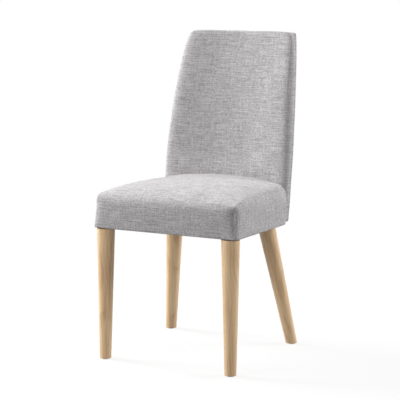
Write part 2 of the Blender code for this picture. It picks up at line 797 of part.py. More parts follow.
def make_back_bolts(bored):
    """Bolts from inside the seat, through its rear rail and into the back's lower rail."""
    rail_face = SEAT_REAR_FACE - RAIL_THICKNESS
    under_head = rail_face - 2 * CLEARANCE - WASHER
    middle = SKIN + RAIL_HEIGHT / 2
    along_y = (math.pi / 2, 0.0, 0.0)
    for level, rise in (("upper", BACK_BOLT_RISE / 2), ("lower", -BACK_BOLT_RISE / 2)):
        for name, side in SIDES:
            title = f"back_bolt_{level}_{name}"
            washer_title = f"back_washer_{level}_{name}"
            bolt_profile = [
                (0.0, BACK_BOLT_HEAD),
                (BACK_BOLT_HEAD_RADIUS, BACK_BOLT_HEAD),
                (BACK_BOLT_HEAD_RADIUS, 0.0),
                (BACK_BOLT_RADIUS, 0.0),
                (BACK_BOLT_RADIUS, -BACK_BOLT_LENGTH),
                (0.0, -BACK_BOLT_LENGTH),
            ]
            bore = BACK_BOLT_RADIUS + CLEARANCE
            washer_profile = [
                (bore, -CLEARANCE),
                (WASHER_RADIUS, -CLEARANCE),
                (WASHER_RADIUS, -CLEARANCE - WASHER),
                (bore, -CLEARANCE - WASHER),
            ]
            room_profile = rod_profile(bore, BACK_BOLT_HEAD, -BACK_BOLT_LENGTH - CLEARANCE)
            bolt = add_part(title, turned_mesh(title, bolt_profile), ZINC, seat)
            washer_mesh = turned_mesh(washer_title, washer_profile, closed=True)
            washer = add_part(washer_title, washer_mesh, ZINC, seat)
            room = add_cutter(f"{title}_bore", turned_mesh(f"{title}_bore", room_profile), seat)
            for item in (bolt, washer, room):
                item.location = (side * seat_half_width(SEAT_DEPTH) * BACK_BOLT_SHARE, under_head, middle + rise)
                item.rotation_euler = along_y
                spin(item, HARDWARE_SIDES)
            for target in bored:
                cut(target, room)


def back_in_seat():
    """The back's frame in the seat's."""
    stands = Matrix.Translation((0.0, SEAT_DEPTH + BACK_GAP, BACK_LIFT))
    return stands @ Matrix.Rotation(-BACK_TO_SEAT_ANGLE, 4, "X")


def seat_in_chair():
    """The seat's frame in the chair's, whose origin lies half way between seat front and back rear."""
    tilt = Matrix.Rotation(-SEAT_TILT, 4, "X")
    rearmost = tilt @ back_in_seat() @ Vector(back_skin(0.0, 0.5, BACK_LENGTH))
    front = (SEAT_BULGE - rearmost.y) / 2
    return Matrix.Translation((0.0, front, SEAT_UNDERSIDE)) @ tilt


clear_scene()
parts = new_collection("upholstered_side_chair")
cutters = new_collection("cutters")
seat_matrix = seat_in_chair()
seat = new_empty("seat_unit", seat_matrix)
back = new_empty("back_unit", back_in_seat(), seat)

seat_rails = make_seat_rails()
ends = [(end, name, side) for end in ("front", "rear") for name, side in SIDES]
corner_blocks = {(end, name): make_corner_block(end, name, side) for end, name, side in ends}
make_dowels(seat_rails, corner_blocks)
make_webbing()
make_seat_padding()
seat_cover = make_seat_cover()
dust_cover = make_dust_cover()

leg_room = make_leg_room()
for end, name, side in ends:
    leg = make_leg(end, name, side, leg_room)
    make_leg_fixing(end, name, leg, corner_blocks[end, name], (dust_cover, seat_cover))

back_rails = make_back_frame()
back_pads = make_back_padding()
back_covers = make_back_covers()
front_layers = (back_covers["back_front_cover"], back_pads["back_foam"])
make_back_bolts((seat_rails["rear"], seat_cover, *front_layers, back_rails["lower"]))
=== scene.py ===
"""An upholstered side chair: cloth covers over foam, on four turned legs, in a plain pale studio."""
import math

import bmesh
import bpy
import numpy as np
from mathutils import Matrix, Vector, noise
from mathutils.bvhtree import BVHTree


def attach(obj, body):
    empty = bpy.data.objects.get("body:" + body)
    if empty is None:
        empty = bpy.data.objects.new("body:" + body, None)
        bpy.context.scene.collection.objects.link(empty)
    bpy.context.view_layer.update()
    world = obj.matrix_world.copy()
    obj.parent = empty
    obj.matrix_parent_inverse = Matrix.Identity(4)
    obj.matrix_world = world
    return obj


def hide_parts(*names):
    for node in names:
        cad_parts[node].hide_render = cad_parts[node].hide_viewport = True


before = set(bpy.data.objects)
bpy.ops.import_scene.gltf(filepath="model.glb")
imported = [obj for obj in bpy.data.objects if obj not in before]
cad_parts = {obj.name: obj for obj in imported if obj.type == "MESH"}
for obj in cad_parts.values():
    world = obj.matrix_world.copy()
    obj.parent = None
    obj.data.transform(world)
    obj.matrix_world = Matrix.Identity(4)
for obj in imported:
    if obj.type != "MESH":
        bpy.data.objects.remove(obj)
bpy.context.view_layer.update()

# Sizes that the part sets or works out, in metres
SEAT_UNDERSIDE = 0.364
SEAT_FRONT_Y = -0.25173059
SEAT_TILT = math.radians(1.6)
SEAT_WIDTH_FRONT = 0.432
SEAT_WIDTH_REAR = 0.417
SEAT_DEPTH = 0.343
SEAT_EDGE_HEIGHT = 0.1055
SEAT_FRONT_FALL = 0.012
SEAT_FALL_SHARE = 0.4
SEAT_CROWN_SHARE = 0.5
SEAT_BULGE = 0.003
SEAT_CORNER_ROUND = 0.038
SEAT_FRONT_ROUND = 0.038
SEAT_TOP_ROUND = 0.038
SEAT_REAR_ROUND = 0.014
SEAT_HEM_ROUND = 0.003
SEAT_CAGE_ROWS = 3
BACK_LENGTH = 0.530
BACK_LEAN = math.radians(5.45)
BACK_BEND_RADIUS = 2.9
BACK_STRAIGHT = 0.115
BACK_WIDTH_BASE = 0.385
BACK_WIDTH_TOP = 0.326
BACK_THICKNESS = 0.0525
BACK_THICKNESS_TOP = 0.039
BACK_HOLLOW_RISE = 0.240
BACK_GAP = 0.0015
BACK_LIFT = 0.003
BACK_TOP_ROUND = 0.024
BACK_BOTTOM_ROUND = 0.012
BACK_SEAM_DEPTH = 0.026
BACK_CAGE_ROWS = 4
FABRIC = 0.0014
DUST_CLOTH = 0.0008
DUST_COVER_INSET = 0.014
CLEARANCE = 0.0004
STRAP_THICKNESS = 0.0016
STRAP_WIDTH = 0.050
STRAP_LEVEL = 0.0584
STRAP_WEAVE = 0.0010
STRAP_START = 0.013
STRAP_STOP = 0.3368
STRAP_SIDE_INSET = 0.013
LONG_STRAPS = (-0.090, 0.0, 0.090)
CROSS_STRAPS = (0.0949, 0.1749, 0.2549)

# Each leg's top and foot
LEGS = {
    "front_left_leg": ((-0.18748, -0.22778, 0.36173), (-0.19048, -0.23228, 0.0)),
    "front_right_leg": ((0.18748, -0.22778, 0.36173), (0.19048, -0.23228, 0.0)),
    "rear_left_leg": ((-0.14369, 0.08259, 0.35306), (-0.19519, 0.15159, 0.0)),
    "rear_right_leg": ((0.14369, 0.08259, 0.35306), (0.19519, 0.15159, 0.0)),
}

# The seat's and the back's frames in the chair's
SEAT = Matrix.Translation((0.0, SEAT_FRONT_Y, SEAT_UNDERSIDE)) @ Matrix.Rotation(-SEAT_TILT, 4, "X")
BACK = (
    SEAT
    @ Matrix.Translation((0.0, SEAT_DEPTH + BACK_GAP, BACK_LIFT))
    @ Matrix.Rotation(-(BACK_LEAN - SEAT_TILT), 4, "X")
)

# The covers' own sizes. Their cages are rounded further than the part's, so they are drawn tighter and
# filled out here and there, to come out as full as its solids.
ROUND_SHARE = 0.75
SEAT_CROWN = 0.0168
SEAT_SIDE_ROLL = 0.002
SEAT_REAR_ROLL = 0.0125
SEAT_FRONT_ROLL = 0.006
SEAT_CORNER_ROLL = 0.007
SEAT_CORNER_RISE = 0.6
SEAT_REAR_CORNER = 0.009
SEAT_SIDE_FILL = 0.0014
SEAT_TOP_FILL = 0.0015
BACK_HOLLOW = 0.025
BACK_LOW_HOLLOW = 0.018
BACK_SIDE_ROUND = 0.031
BACK_FRONT_ROUND = 0.028
BACK_REAR_ROUND = 0.022
BACK_EDGE_ROLL = 0.003
BACK_FRONT_ROLL = 0.0075
BACK_REAR_ROLL = 0.009
BACK_CORNER_ROLL = 0.009
BACK_REAR_TAPER = 0.004
BACK_LOW_TAPER = 0.004
BACK_REAR_SHARE = 0.70
BACK_SHARP_SHARE = 0.80
BACK_SIDE_FILL = 0.0052
BACK_TOP_FILL = 0.0018
BACK_FORWARD = 0.0025
BACK_WING = 0.008
BACK_SEAM = BACK_SEAM_DEPTH / BACK_THICKNESS - 0.5

# Fades up the back: the height where each starts, and over how much more it is complete
LOW_HOLLOW_IN = (0.04, 0.06)
LOW_HOLLOW_OUT = (0.11, 0.09)
LOW_TAPER_OUT = (0.0, 0.10)
REAR_TAPER_OUT = (0.20, 0.22)
SHARP_IN = (0.34, 0.16)
FORWARD_IN = (0.08, 0.06)
FORWARD_OUT = (0.40, 0.12)
WING_IN = (0.10, 0.10)
WING_OUT = (0.46, 0.07)

# Where a point of the back's cage counts as near or at a side, the front or the rear
NEAR_SIDE = 0.8
AT_SIDE = 0.97
NEAR_FRONT = -0.05
AT_FRONT = -0.45
NEAR_REAR = 0.1
AT_REAR = 0.45

# Cloth simulation
SIM_FRAMES = 20
SIM_CLOTH = {
    "quality": 6,
    "mass": 0.35,
    "tension_stiffness": 18,
    "compression_stiffness": 18,
    "shear_stiffness": 6,
    "bending_stiffness": 2.0,
    "use_pressure": True,
    "uniform_pressure_force": 4.0,
}
SIM_SLACK = 0.0006
SIM_EVEN_ROUNDS = 14
NEARLY_ZERO = 1e-9
SEAT_SHRINK = 0.006
SEAT_CAP = 0.0045
BACK_SHRINK = 0.003
BACK_CAP = 0.0020
FORM_LEVELS = 3
DETAIL_LEVELS = 1

# Where the simulation holds the covers: a limit in cage coordinates, the back's top one measured down from
# its top, and over how much the hold fades
SEAT_HEM_HELD = (0.16, 0.10)
SEAT_REAR_HELD = (0.93, 0.05)
BACK_FOOT_HELD = (0.03, 0.02)
BACK_EDGE_HELD = (-0.40, 0.10)
BACK_SIDE_HELD = (0.80, 0.08)
BACK_TOP_HELD = (0.060, 0.03)

# Uneven padding: bumps per metre, depth and the noise's number, and the height where it is complete; then
# the step from one noise to the next, and the noise's falloff, spacing and octaves
SEAT_UNEVEN = (14.0, 0.0007, 1)
SEAT_UNEVEN_RISE = 0.03
BACK_UNEVEN = (11.0, 0.0006, 2)
BACK_UNEVEN_RISE = 0.05
NOISE_STEP = Vector((3.1, 1.7, 2.3))
NOISE_FRACTAL = (1.0, 2.0, 2)

# Tuck at each front corner of the seat
TUCK_DEPTH = 0.0027
TUCK_WIDTH = 0.0070
TUCK_TURN = math.radians(50)
TUCK_TOP = 0.080
TUCK_REACH = 1.6 * SEAT_CORNER_ROUND
TUCK_CORE = 0.012
LEFT_TUCK_SHARE = 0.2
CREASE_RISE = 0.012
CREASE_FOOT = (0.004, 0.02)
DIMPLE_DEPTH = 0.0045
DIMPLE_WIDTH = 0.0095
DIMPLE_DROP = 0.016
DIMPLE_HEIGHT = 0.013

# Draw-in of the back's front behind the seat, with its fades up, across and through the back
DRAWN_DEPTH = 0.0045
DRAWN_IN = (0.05, 0.05)
DRAWN_OUT = (0.112, 0.026)
DRAWN_SIDE = (0.70, 0.25)
DRAWN_REAR = (-0.48, 0.20)

# Seam round the back
SEAM_GROOVE = 0.0016
SEAM_GROOVE_WIDTH = 0.0040
SEAM_SIDE = 0.90
SEAM_TOP = 0.012

# Where the laid cloth folds over an edge
SEAT_FRONT_FOLD = 0.088
SEAT_SIDE_FOLD = 0.094
BACK_FOLD = 0.008

# Pads under the covers
PAD_GAP = FABRIC + 0.0026
PAD_EDGE = 0.007
PAD_DIVISIONS = 4
PAD_WELD = 1e-6
PAD_SLIVER = 0.00002

# Dust cover
DUST_SAG = 0.0035
DUST_SAG_IN = (0.030, 0.10)
DUST_RIPPLE = 0.0003
DUST_RIPPLE_TURNS = (160, 145)
DUST_HEM = 0.012
DUST_HEM_FOLD = 0.002
DUST_HEM_DROP = 0.0004
DUST_COLUMNS = 72
DUST_ROWS = 56
BOLT_HOLE = 0.0062

# Webbing: how much of each end is held flat, how the straps pass each other, and their mesh and selvedge
LONG_HELD = 0.055
CROSS_HELD = 0.022
STRAP_EASE = 0.0008
STRAP_SHY = 0.0001
STRAP_COLUMNS = 16
STRAP_ROW = 0.004
SELVEDGE_FROM = 0.46
SELVEDGE_DROP = 0.00012


# Shape of the seat and the back


def steps(low, high, count):
    return [low + (high - low) * i / count for i in range(count + 1)]


def clamped(value):
    return np.clip(value, 0.0, 1.0)


def smooth_step(value):
    held = clamped(value)
    return held * held * (3 - 2 * held)


def grown(value, fade):
    """0 up to a fade's start, 1 from its end on, and smooth between them."""
    start, length = fade
    return smooth_step((value - start) / length)


def bell(value):
    return np.exp(-(value**2))


def seat_half_width(y):
    return (SEAT_WIDTH_FRONT + (SEAT_WIDTH_REAR - SEAT_WIDTH_FRONT) * y / SEAT_DEPTH) / 2


def back_rise(z):
    return np.maximum(0.0, (z - BACK_STRAIGHT) / (BACK_LENGTH - BACK_STRAIGHT))


def back_half_width(z):
    return (BACK_WIDTH_BASE - (BACK_WIDTH_BASE - BACK_WIDTH_TOP) * back_rise(z) ** 2) / 2


def back_thickness(z):
    return BACK_THICKNESS - (BACK_THICKNESS - BACK_THICKNESS_TOP) * back_rise(z) ** 2


def back_middle(x, z):
    """The bent middle surface of the back, hollow across it and more so just above the seat."""
    share = np.maximum(0.0, 1 - (2 * x / BACK_WIDTH_BASE) ** 2)
    low = grown(z, LOW_HOLLOW_IN) * (1 - grown(z, LOW_HOLLOW_OUT))
    hollow = (BACK_HOLLOW * smooth_step(z / BACK_HOLLOW_RISE) + BACK_LOW_HOLLOW * low) * share
    return BACK_THICKNESS / 2 + z * z / (2 * BACK_BEND_RADIUS) + hollow


def back_skin(across, through, z):
    """The back's face: across from -1 to 1, and through from -0.5 in front to 0.5 behind.

    A broad roll runs down its front edges and grows sharp towards the top.
    """
    share = BACK_SHARP_SHARE + (1 - BACK_SHARP_SHARE) * (1 - grown(z, SHARP_IN))
    near_side = np.abs(across) > NEAR_SIDE
    near_rear = through > NEAR_REAR
    for drawn in (share, np.where(near_rear, BACK_REAR_SHARE, 1.0)):
        across = np.where(near_side, np.sign(across) * (1 - (1 - np.abs(across)) * drawn), across)
    through = np.where(through < NEAR_FRONT, -0.5 + (through + 0.5) * share, through)
    at_side = np.abs(across) > AT_SIDE
    at_front = through < AT_FRONT
    at_rear = through > AT_REAR
    at_top = z > BACK_LENGTH - ROUND_SHARE * BACK_TOP_ROUND / 2
    corner = np.where(at_side & at_top & ~at_rear, BACK_CORNER_ROLL, 0.0)
    edge_roll = np.where(at_side & (at_front | at_rear), BACK_EDGE_ROLL, 0.0)
    half = back_half_width(z) + BACK_SIDE_FILL - BACK_LOW_TAPER * (1 - grown(z, LOW_TAPER_OUT))
    x = across * half - np.sign(across) * (edge_roll + corner)
    front_roll = np.where(at_side & at_front, BACK_FRONT_ROLL * share, 0.0)
    rear_roll = np.where(at_side & at_rear, BACK_REAR_ROLL, 0.0)
    low = 1 - grown(z, REAR_TAPER_OUT)
    rear_taper = np.where(near_rear, BACK_REAR_TAPER * low * across**4, 0.0)
    forward = grown(z, FORWARD_IN) * (BACK_FORWARD - BACK_FORWARD * grown(z, FORWARD_OUT))
    wing = grown(z, WING_IN) * (1 - grown(z, WING_OUT))
    wing = np.where(near_side & at_front & ~at_side, BACK_WING * wing, 0.0)
    y = back_middle(x, z) + through * back_thickness(z)
    y = y + front_roll - rear_roll - rear_taper - forward - wing
    return x, y, z + BACK_TOP_FILL * smooth_step(z / BACK_LENGTH) - corner


def seat_skin(across, along, up):
    """The seat's face: across from -1 to 1, along from 0 in front to 1 behind, and up from 0 to 1."""
    flank = 4 * up * (1 - up)
    half = seat_half_width(along * SEAT_DEPTH) + SEAT_SIDE_FILL + SEAT_BULGE * flank * 4 * along * (1 - along)
    crown = SEAT_CROWN * (1 - across * across) * (1 - np.maximum(0.0, 1 - along / SEAT_CROWN_SHARE) ** 2)
    fall = SEAT_FRONT_FALL * np.maximum(0.0, 1 - along / SEAT_FALL_SHARE) ** 2
    at_side = np.abs(across) > 1 - ROUND_SHARE * SEAT_CORNER_ROUND / SEAT_WIDTH_FRONT
    at_top = up > 1 - ROUND_SHARE * SEAT_TOP_ROUND / SEAT_EDGE_HEIGHT / 2
    at_front = along < ROUND_SHARE * SEAT_FRONT_ROUND / SEAT_DEPTH / 2
    at_rear = along > 1 - ROUND_SHARE * SEAT_REAR_ROUND / SEAT_DEPTH / 2
    side_roll = SEAT_SIDE_ROLL + (SEAT_REAR_ROLL - SEAT_SIDE_ROLL) * along
    side_roll = np.where(at_side & at_top, side_roll, 0.0)
    front_roll = np.where(at_front & at_top, SEAT_FRONT_ROLL, 0.0)
    corner_roll = SEAT_CORNER_ROLL * smooth_step(up / SEAT_CORNER_RISE)
    corner_roll = np.where(at_front & at_side & ~at_top, corner_roll, 0.0)
    rear_corner = np.where(at_side & at_rear, SEAT_REAR_CORNER, 0.0)
    x = across * half - np.sign(across) * (np.maximum(side_roll, rear_corner) + corner_roll)
    height = up * (SEAT_EDGE_HEIGHT + SEAT_TOP_FILL + crown - fall) - np.maximum(side_roll, front_roll)
    front = front_roll - SEAT_BULGE * flank * (1 - across * across) + corner_roll
    bent = back_middle(x, height) - BACK_THICKNESS / 2
    rear = SEAT_DEPTH + height * math.tan(BACK_LEAN - SEAT_TILT) + bent
    return x, front + along * (rear - front) - rear_corner, height


def seat_cuts():
    """Edge loops of the seat's cage."""
    corner = 1 - ROUND_SHARE * SEAT_CORNER_ROUND / (SEAT_WIDTH_FRONT / 2)
    front = ROUND_SHARE * SEAT_FRONT_ROUND / SEAT_DEPTH
    rear = 1 - ROUND_SHARE * SEAT_REAR_ROUND / SEAT_DEPTH
    hem = ROUND_SHARE * SEAT_HEM_ROUND / SEAT_EDGE_HEIGHT
    top = 1 - ROUND_SHARE * SEAT_TOP_ROUND / SEAT_EDGE_HEIGHT
    across = [-1.0, -corner, -corner / 2, 0.0, corner / 2, corner, 1.0]
    along = [0.0, front, *steps(front, rear, SEAT_CAGE_ROWS)[1:-1], rear, 1.0]
    up = [0.0, hem, top, 1.0]
    return across, along, up


def back_cuts():
    """Edge loops of the back's cage, with one at the seam."""
    corner = 1 - ROUND_SHARE * BACK_SIDE_ROUND / (BACK_WIDTH_BASE / 2)
    front = ROUND_SHARE * BACK_FRONT_ROUND / BACK_THICKNESS - 0.5
    rear = 0.5 - ROUND_SHARE * BACK_REAR_ROUND / BACK_THICKNESS
    low = ROUND_SHARE * BACK_BOTTOM_ROUND
    high = BACK_LENGTH - ROUND_SHARE * BACK_TOP_ROUND
    across = [-1.0, -corner, -corner / 2, 0.0, corner / 2, corner, 1.0]
    through = [-0.5, front, BACK_SEAM, rear, 0.5]
    up = [0.0, low, *steps(low, high, BACK_CAGE_ROWS)[1:-1], high, BACK_LENGTH]
    return across, through, up


# Meshes

# The sides of a cage, as its faces' material indices number them
LEFT, RIGHT, FRONT, REAR, BELOW, ABOVE = range(6)


def box_cage(*cuts_by_axis):
    """A box with an edge loop at each inner cut; each face's material index tells its side of the box."""
    spans = [(cuts[0], cuts[-1]) for cuts in cuts_by_axis]
    middle = Vector([(low + high) / 2 for low, high in spans])
    size = [high - low for low, high in spans]
    bm = bmesh.new()
    bmesh.ops.create_cube(bm, size=1.0, matrix=Matrix.Translation(middle) @ Matrix.Diagonal((*size, 1.0)))
    bm.normal_update()
    for face in bm.faces:
        axis = max(range(3), key=lambda i: abs(face.normal[i]))
        face.material_index = 2 * axis + (face.normal[axis] > 0)
    for axis, cuts in enumerate(cuts_by_axis):
        normal = Vector((0.0, 0.0, 0.0))
        normal[axis] = 1.0
        for cut in cuts[1:-1]:
            everything = [*bm.verts, *bm.edges, *bm.faces]
            bmesh.ops.bisect_plane(bm, geom=everything, plane_co=normal * cut, plane_no=normal)
    return bm


def vectors(collection, field, count):
    """One vector for each of a mesh's points, from one of its collections."""
    flat = np.empty(count * 3, dtype=np.float32)
    collection.foreach_get(field, flat)
    return flat.reshape(-1, 3).astype(np.float64)


def read(mesh):
    return vectors(mesh.vertices, "co", len(mesh.vertices))


def normals_of(mesh):
    return vectors(mesh.vertex_normals, "vector", len(mesh.vertices))


def read_cage(mesh):
    return vectors(mesh.attributes["cage"].data, "vector", len(mesh.vertices))


def whole_numbers(collection, field, count):
    values = np.empty(count, dtype=np.int32)
    collection.foreach_get(field, values)
    return values


def write(mesh, points):
    mesh.vertices.foreach_set("co", np.asarray(points, dtype=np.float32).ravel())
    mesh.update()


def moved(points, matrix):
    turn = np.array(matrix.to_3x3())
    return points @ turn.T + np.array(matrix.translation)


def new_object(name, data):
    item = bpy.data.objects.new(name, data)
    bpy.context.scene.collection.objects.link(item)
    return item


def bake(item):
    """Applies an object's modifiers to its mesh."""
    bpy.context.view_layer.update()
    graph = bpy.context.evaluated_depsgraph_get()
    shown = item.evaluated_get(graph)
    made = bpy.data.meshes.new_from_object(shown, preserve_all_data_layers=True, depsgraph=graph)
    old = item.data
    item.modifiers.clear()
    item.data = made
    bpy.data.meshes.remove(old)


def subdivide(item, levels):
    modifier = item.modifiers.new("round", "SUBSURF")
    modifier.levels = levels
    modifier.render_levels = levels
    bake(item)


def thicken(item, thickness):
    modifier = item.modifiers.new("cloth_thickness", "SOLIDIFY")
    modifier.thickness = thickness
    modifier.offset = -1.0
    bake(item)


def smooth_shade(mesh):
    mesh.polygons.foreach_set("use_smooth", np.ones(len(mesh.polygons), dtype=bool))
    mesh.update()


def delete_faces(bm, unwanted):
    away = [face for face in bm.faces if unwanted(face)]
    bmesh.ops.delete(bm, geom=away, context="FACES")


def cushion_form(name, cuts, place):
    """A cage laid on a shape and rounded, with the cage's own coordinates kept on its points."""
    bm = box_cage(*cuts)
    mesh = bpy.data.meshes.new(name)
    bm.to_mesh(mesh)
    bm.free()
    cage = read(mesh)
    kept = mesh.attributes.new("cage", "FLOAT_VECTOR", "POINT")
    kept.data.foreach_set("vector", cage.astype(np.float32).ravel())
    write(mesh, np.stack(place(*cage.T), axis=1))
    item = new_object(name, mesh)
    subdivide(item, FORM_LEVELS)
    return item


def evened(mesh, values):
    """Values on the points, each drawn towards its neighbours' mean in a few rounds."""
    ends = whole_numbers(mesh.edges, "vertices", len(mesh.edges) * 2)
    first, second = ends.reshape(-1, 2).T
    count = len(values)
    near = np.bincount(ends, minlength=count)
    for _ in range(SIM_EVEN_ROUNDS):
        total = np.bincount(first, values[second], count) + np.bincount(second, values[first], count)
        values = (values + total / near) / 2
    return values


def swell(item, held, shrink, cap):
    """Shrinks a form where it isn't held, blows it up as cloth, and keeps each point near the full form."""
    target = read(item.data)
    normals = normals_of(item.data)
    write(item.data, target - normals * (shrink * (1 - held))[:, None])
    pins = item.vertex_groups.new(name="pins")
    for index in np.flatnonzero(held > 0):
        pins.add([int(index)], float(held[index]), "REPLACE")
    cloth = item.modifiers.new("cloth", "CLOTH")
    for setting, value in SIM_CLOTH.items():
        setattr(cloth.settings, setting, value)
    cloth.settings.vertex_group_mass = "pins"
    cloth.settings.effector_weights.gravity = 0.0
    cloth.point_cache.frame_start = 1
    cloth.point_cache.frame_end = SIM_FRAMES
    for step in range(1, SIM_FRAMES + 1):
        bpy.context.scene.frame_set(step)
    bake(item)
    bpy.context.scene.frame_set(1)
    offset = read(item.data) - target
    item.vertex_groups.clear()
    out = np.sum(offset * normals, axis=1)
    aside = offset - normals * out[:, None]
    out = np.where(out > 0, cap * np.tanh(out / cap), SIM_SLACK * np.tanh(out / SIM_SLACK))
    out = evened(item.data, out * (1 - held))
    far = np.linalg.norm(aside, axis=1, keepdims=True)
    aside = aside * SIM_SLACK * np.tanh(far / SIM_SLACK) / np.maximum(far, NEARLY_ZERO)
    write(item.data, target + normals * out[:, None] + aside)


def unevenness(points, scale, depth, seed):
    """A gentle unevenness of the padding, by a fixed noise."""
    shift = NOISE_STEP * seed
    return np.array([noise.fractal(Vector(p) * scale + shift, *NOISE_FRACTAL) for p in points]) * depth


def lay_cloth(mesh, chart):
    """Writes a map of the cloth in metres; chart gives each panel's coordinates from its points."""
    panels = whole_numbers(mesh.polygons, "material_index", len(mesh.polygons))
    sizes = whole_numbers(mesh.polygons, "loop_total", len(mesh.polygons))
    corners = whole_numbers(mesh.loops, "vertex_index", len(mesh.loops))
    points = read(mesh)
    cage = read_cage(mesh)
    panel_of_corner = np.repeat(panels, sizes)
    laid = np.zeros((len(corners), 2))
    for panel in np.unique(panels):
        here = panel_of_corner == panel
        laid[here] = chart(panel, points[corners[here]].T, cage[corners[here]].T)
    layer = mesh.uv_layers.new(name="cloth")
    layer.data.foreach_set("uv", laid.astype(np.float32).ravel())


def part_of(item, name, wanted):
    """A copy of an object with only the faces that are wanted, by their centre on the cage and their side."""
    mesh = item.data.copy()
    mesh.name = name
    bm = bmesh.new()
    bm.from_mesh(mesh)
    layer = bm.verts.layers.float_vector["cage"]

    def unwanted(face):
        centre = sum((v[layer] for v in face.verts), Vector()) / len(face.verts)
        return not wanted(centre, face.material_index)

    delete_faces(bm, unwanted)
    bm.to_mesh(mesh)
    bm.free()
    return new_object(name, mesh)


# Seat cover


def seat_hold(mesh):
    """Holds the hem and the rear edge."""
    _, along, up = read_cage(mesh).T
    hem, hem_fade = SEAT_HEM_HELD
    rear, rear_fade = SEAT_REAR_HELD
    return np.maximum(clamped((hem - up) / hem_fade), clamped((along - rear) / rear_fade))


def seat_details(mesh):
    """Uneven padding, and a tuck down each front corner: a dimple under the top, and a crease below it."""
    points = read(mesh)
    x, y, z = points.T
    push = unevenness(points, *SEAT_UNEVEN) * clamped(z / SEAT_UNEVEN_RISE)
    drop = TUCK_TOP - z
    dimple = DIMPLE_DEPTH * bell((drop - DIMPLE_DROP) / DIMPLE_HEIGHT)
    crease = TUCK_DEPTH * smooth_step(drop / CREASE_RISE) * grown(z, CREASE_FOOT)
    for side, share in ((-1.0, LEFT_TUCK_SHARE), (1.0, 1.0)):
        off_x = x - side * (SEAT_WIDTH_FRONT / 2 - SEAT_CORNER_ROUND)
        off_y = y - SEAT_CORNER_ROUND
        radius = np.hypot(off_x, off_y)
        across = (np.arctan2(-off_y, side * off_x) - TUCK_TURN) * radius
        near = (side * x > SEAT_WIDTH_FRONT / 2 - TUCK_REACH) & (y < TUCK_REACH)
        tuck = dimple * bell(across / DIMPLE_WIDTH) + crease * bell(across / TUCK_WIDTH)
        push = push - np.where((radius > TUCK_CORE) & near, share * tuck, 0.0)
    write(mesh, points + normals_of(mesh) * push[:, None])


def seat_chart(panel, points, _cage):
    """The cloth runs over the top and down the front, the sides and the rear."""
    x, y, z = points
    if panel == FRONT:
        y = y + z - SEAT_FRONT_FOLD
    elif panel == REAR:
        y = y - z + SEAT_FRONT_FOLD
    elif panel in (LEFT, RIGHT):
        side = 1.0 if panel == RIGHT else -1.0
        x = x - side * (z - SEAT_SIDE_FOLD)
    return np.stack((x, y), axis=1)


closed_seat = cushion_form("seat_closed", seat_cuts(), seat_skin)
swell(closed_seat, seat_hold(closed_seat.data), SEAT_SHRINK, SEAT_CAP)
subdivide(closed_seat, DETAIL_LEVELS)
seat_details(closed_seat.data)
lay_cloth(closed_seat.data, seat_chart)


# Back covers


def back_hold(mesh):
    """Holds the foot, the top and the edges, and all that lies behind the front."""
    across, through, up = read_cage(mesh).T
    foot, foot_fade = BACK_FOOT_HELD
    edge, edge_fade = BACK_EDGE_HELD
    side, side_fade = BACK_SIDE_HELD
    top, top_fade = BACK_TOP_HELD
    holds = (
        clamped((foot - up) / foot_fade),
        clamped((through - edge) / edge_fade),
        clamped((np.abs(across) - side) / side_fade),
        clamped((up - BACK_LENGTH + top) / top_fade),
    )
    return np.max(holds, axis=0)


def back_details(mesh):
    """The front drawn in where it goes down behind the seat, uneven padding, and the groove of the seam."""
    points = read(mesh)
    across, through, up = read_cage(mesh).T
    z = points[:, 2]
    drawn = grown(z, DRAWN_IN) * (1 - grown(z, DRAWN_OUT))
    drawn = drawn * (1 - grown(np.abs(across), DRAWN_SIDE)) * (1 - grown(through, DRAWN_REAR))
    points[:, 1] += DRAWN_DEPTH * drawn
    write(mesh, points)
    rim = np.maximum(np.abs(across) > SEAM_SIDE, up > BACK_LENGTH - SEAM_TOP)
    off = (through - BACK_SEAM) * back_thickness(up)
    groove = SEAM_GROOVE * bell(off / SEAM_GROOVE_WIDTH) * rim
    push = unevenness(points, *BACK_UNEVEN) * clamped(up / BACK_UNEVEN_RISE) - groove
    write(mesh, points + normals_of(mesh) * push[:, None])


def back_chart(panel, points, cage):
    """The cloth runs from the front round the edges."""
    x, _, z = points
    _, through, up = cage
    folded = (through + 0.5) * back_thickness(up) - BACK_FOLD
    if panel in (LEFT, RIGHT):
        side = 1.0 if panel == RIGHT else -1.0
        x = x + side * folded
    elif panel == ABOVE:
        z = z + folded
    return np.stack((x, z), axis=1)


closed_back = cushion_form("back_covers", back_cuts(), back_skin)
swell(closed_back, back_hold(closed_back.data), BACK_SHRINK, BACK_CAP)
subdivide(closed_back, DETAIL_LEVELS)
back_details(closed_back.data)
lay_cloth(closed_back.data, back_chart)


# Cutting the covers

across_cuts, along_cuts, _ = seat_cuts()


def seat_hem_or_above(centre, side):
    """All of the seat's cover but the opening inside its hem."""
    inside_hem = abs(centre.x) < across_cuts[-2] and along_cuts[1] < centre.y < along_cuts[-2]
    return side != BELOW or not inside_hem


def skin_tree(*items):
    """A search tree of the outer faces of covers, before they get their thickness."""
    points = []
    faces = []
    for item in items:
        first = len(points)
        points.extend(Vector(p) for p in read(item.data))
        faces.extend([first + i for i in polygon.vertices] for polygon in item.data.polygons)
    return BVHTree.FromPolygons(points, faces)


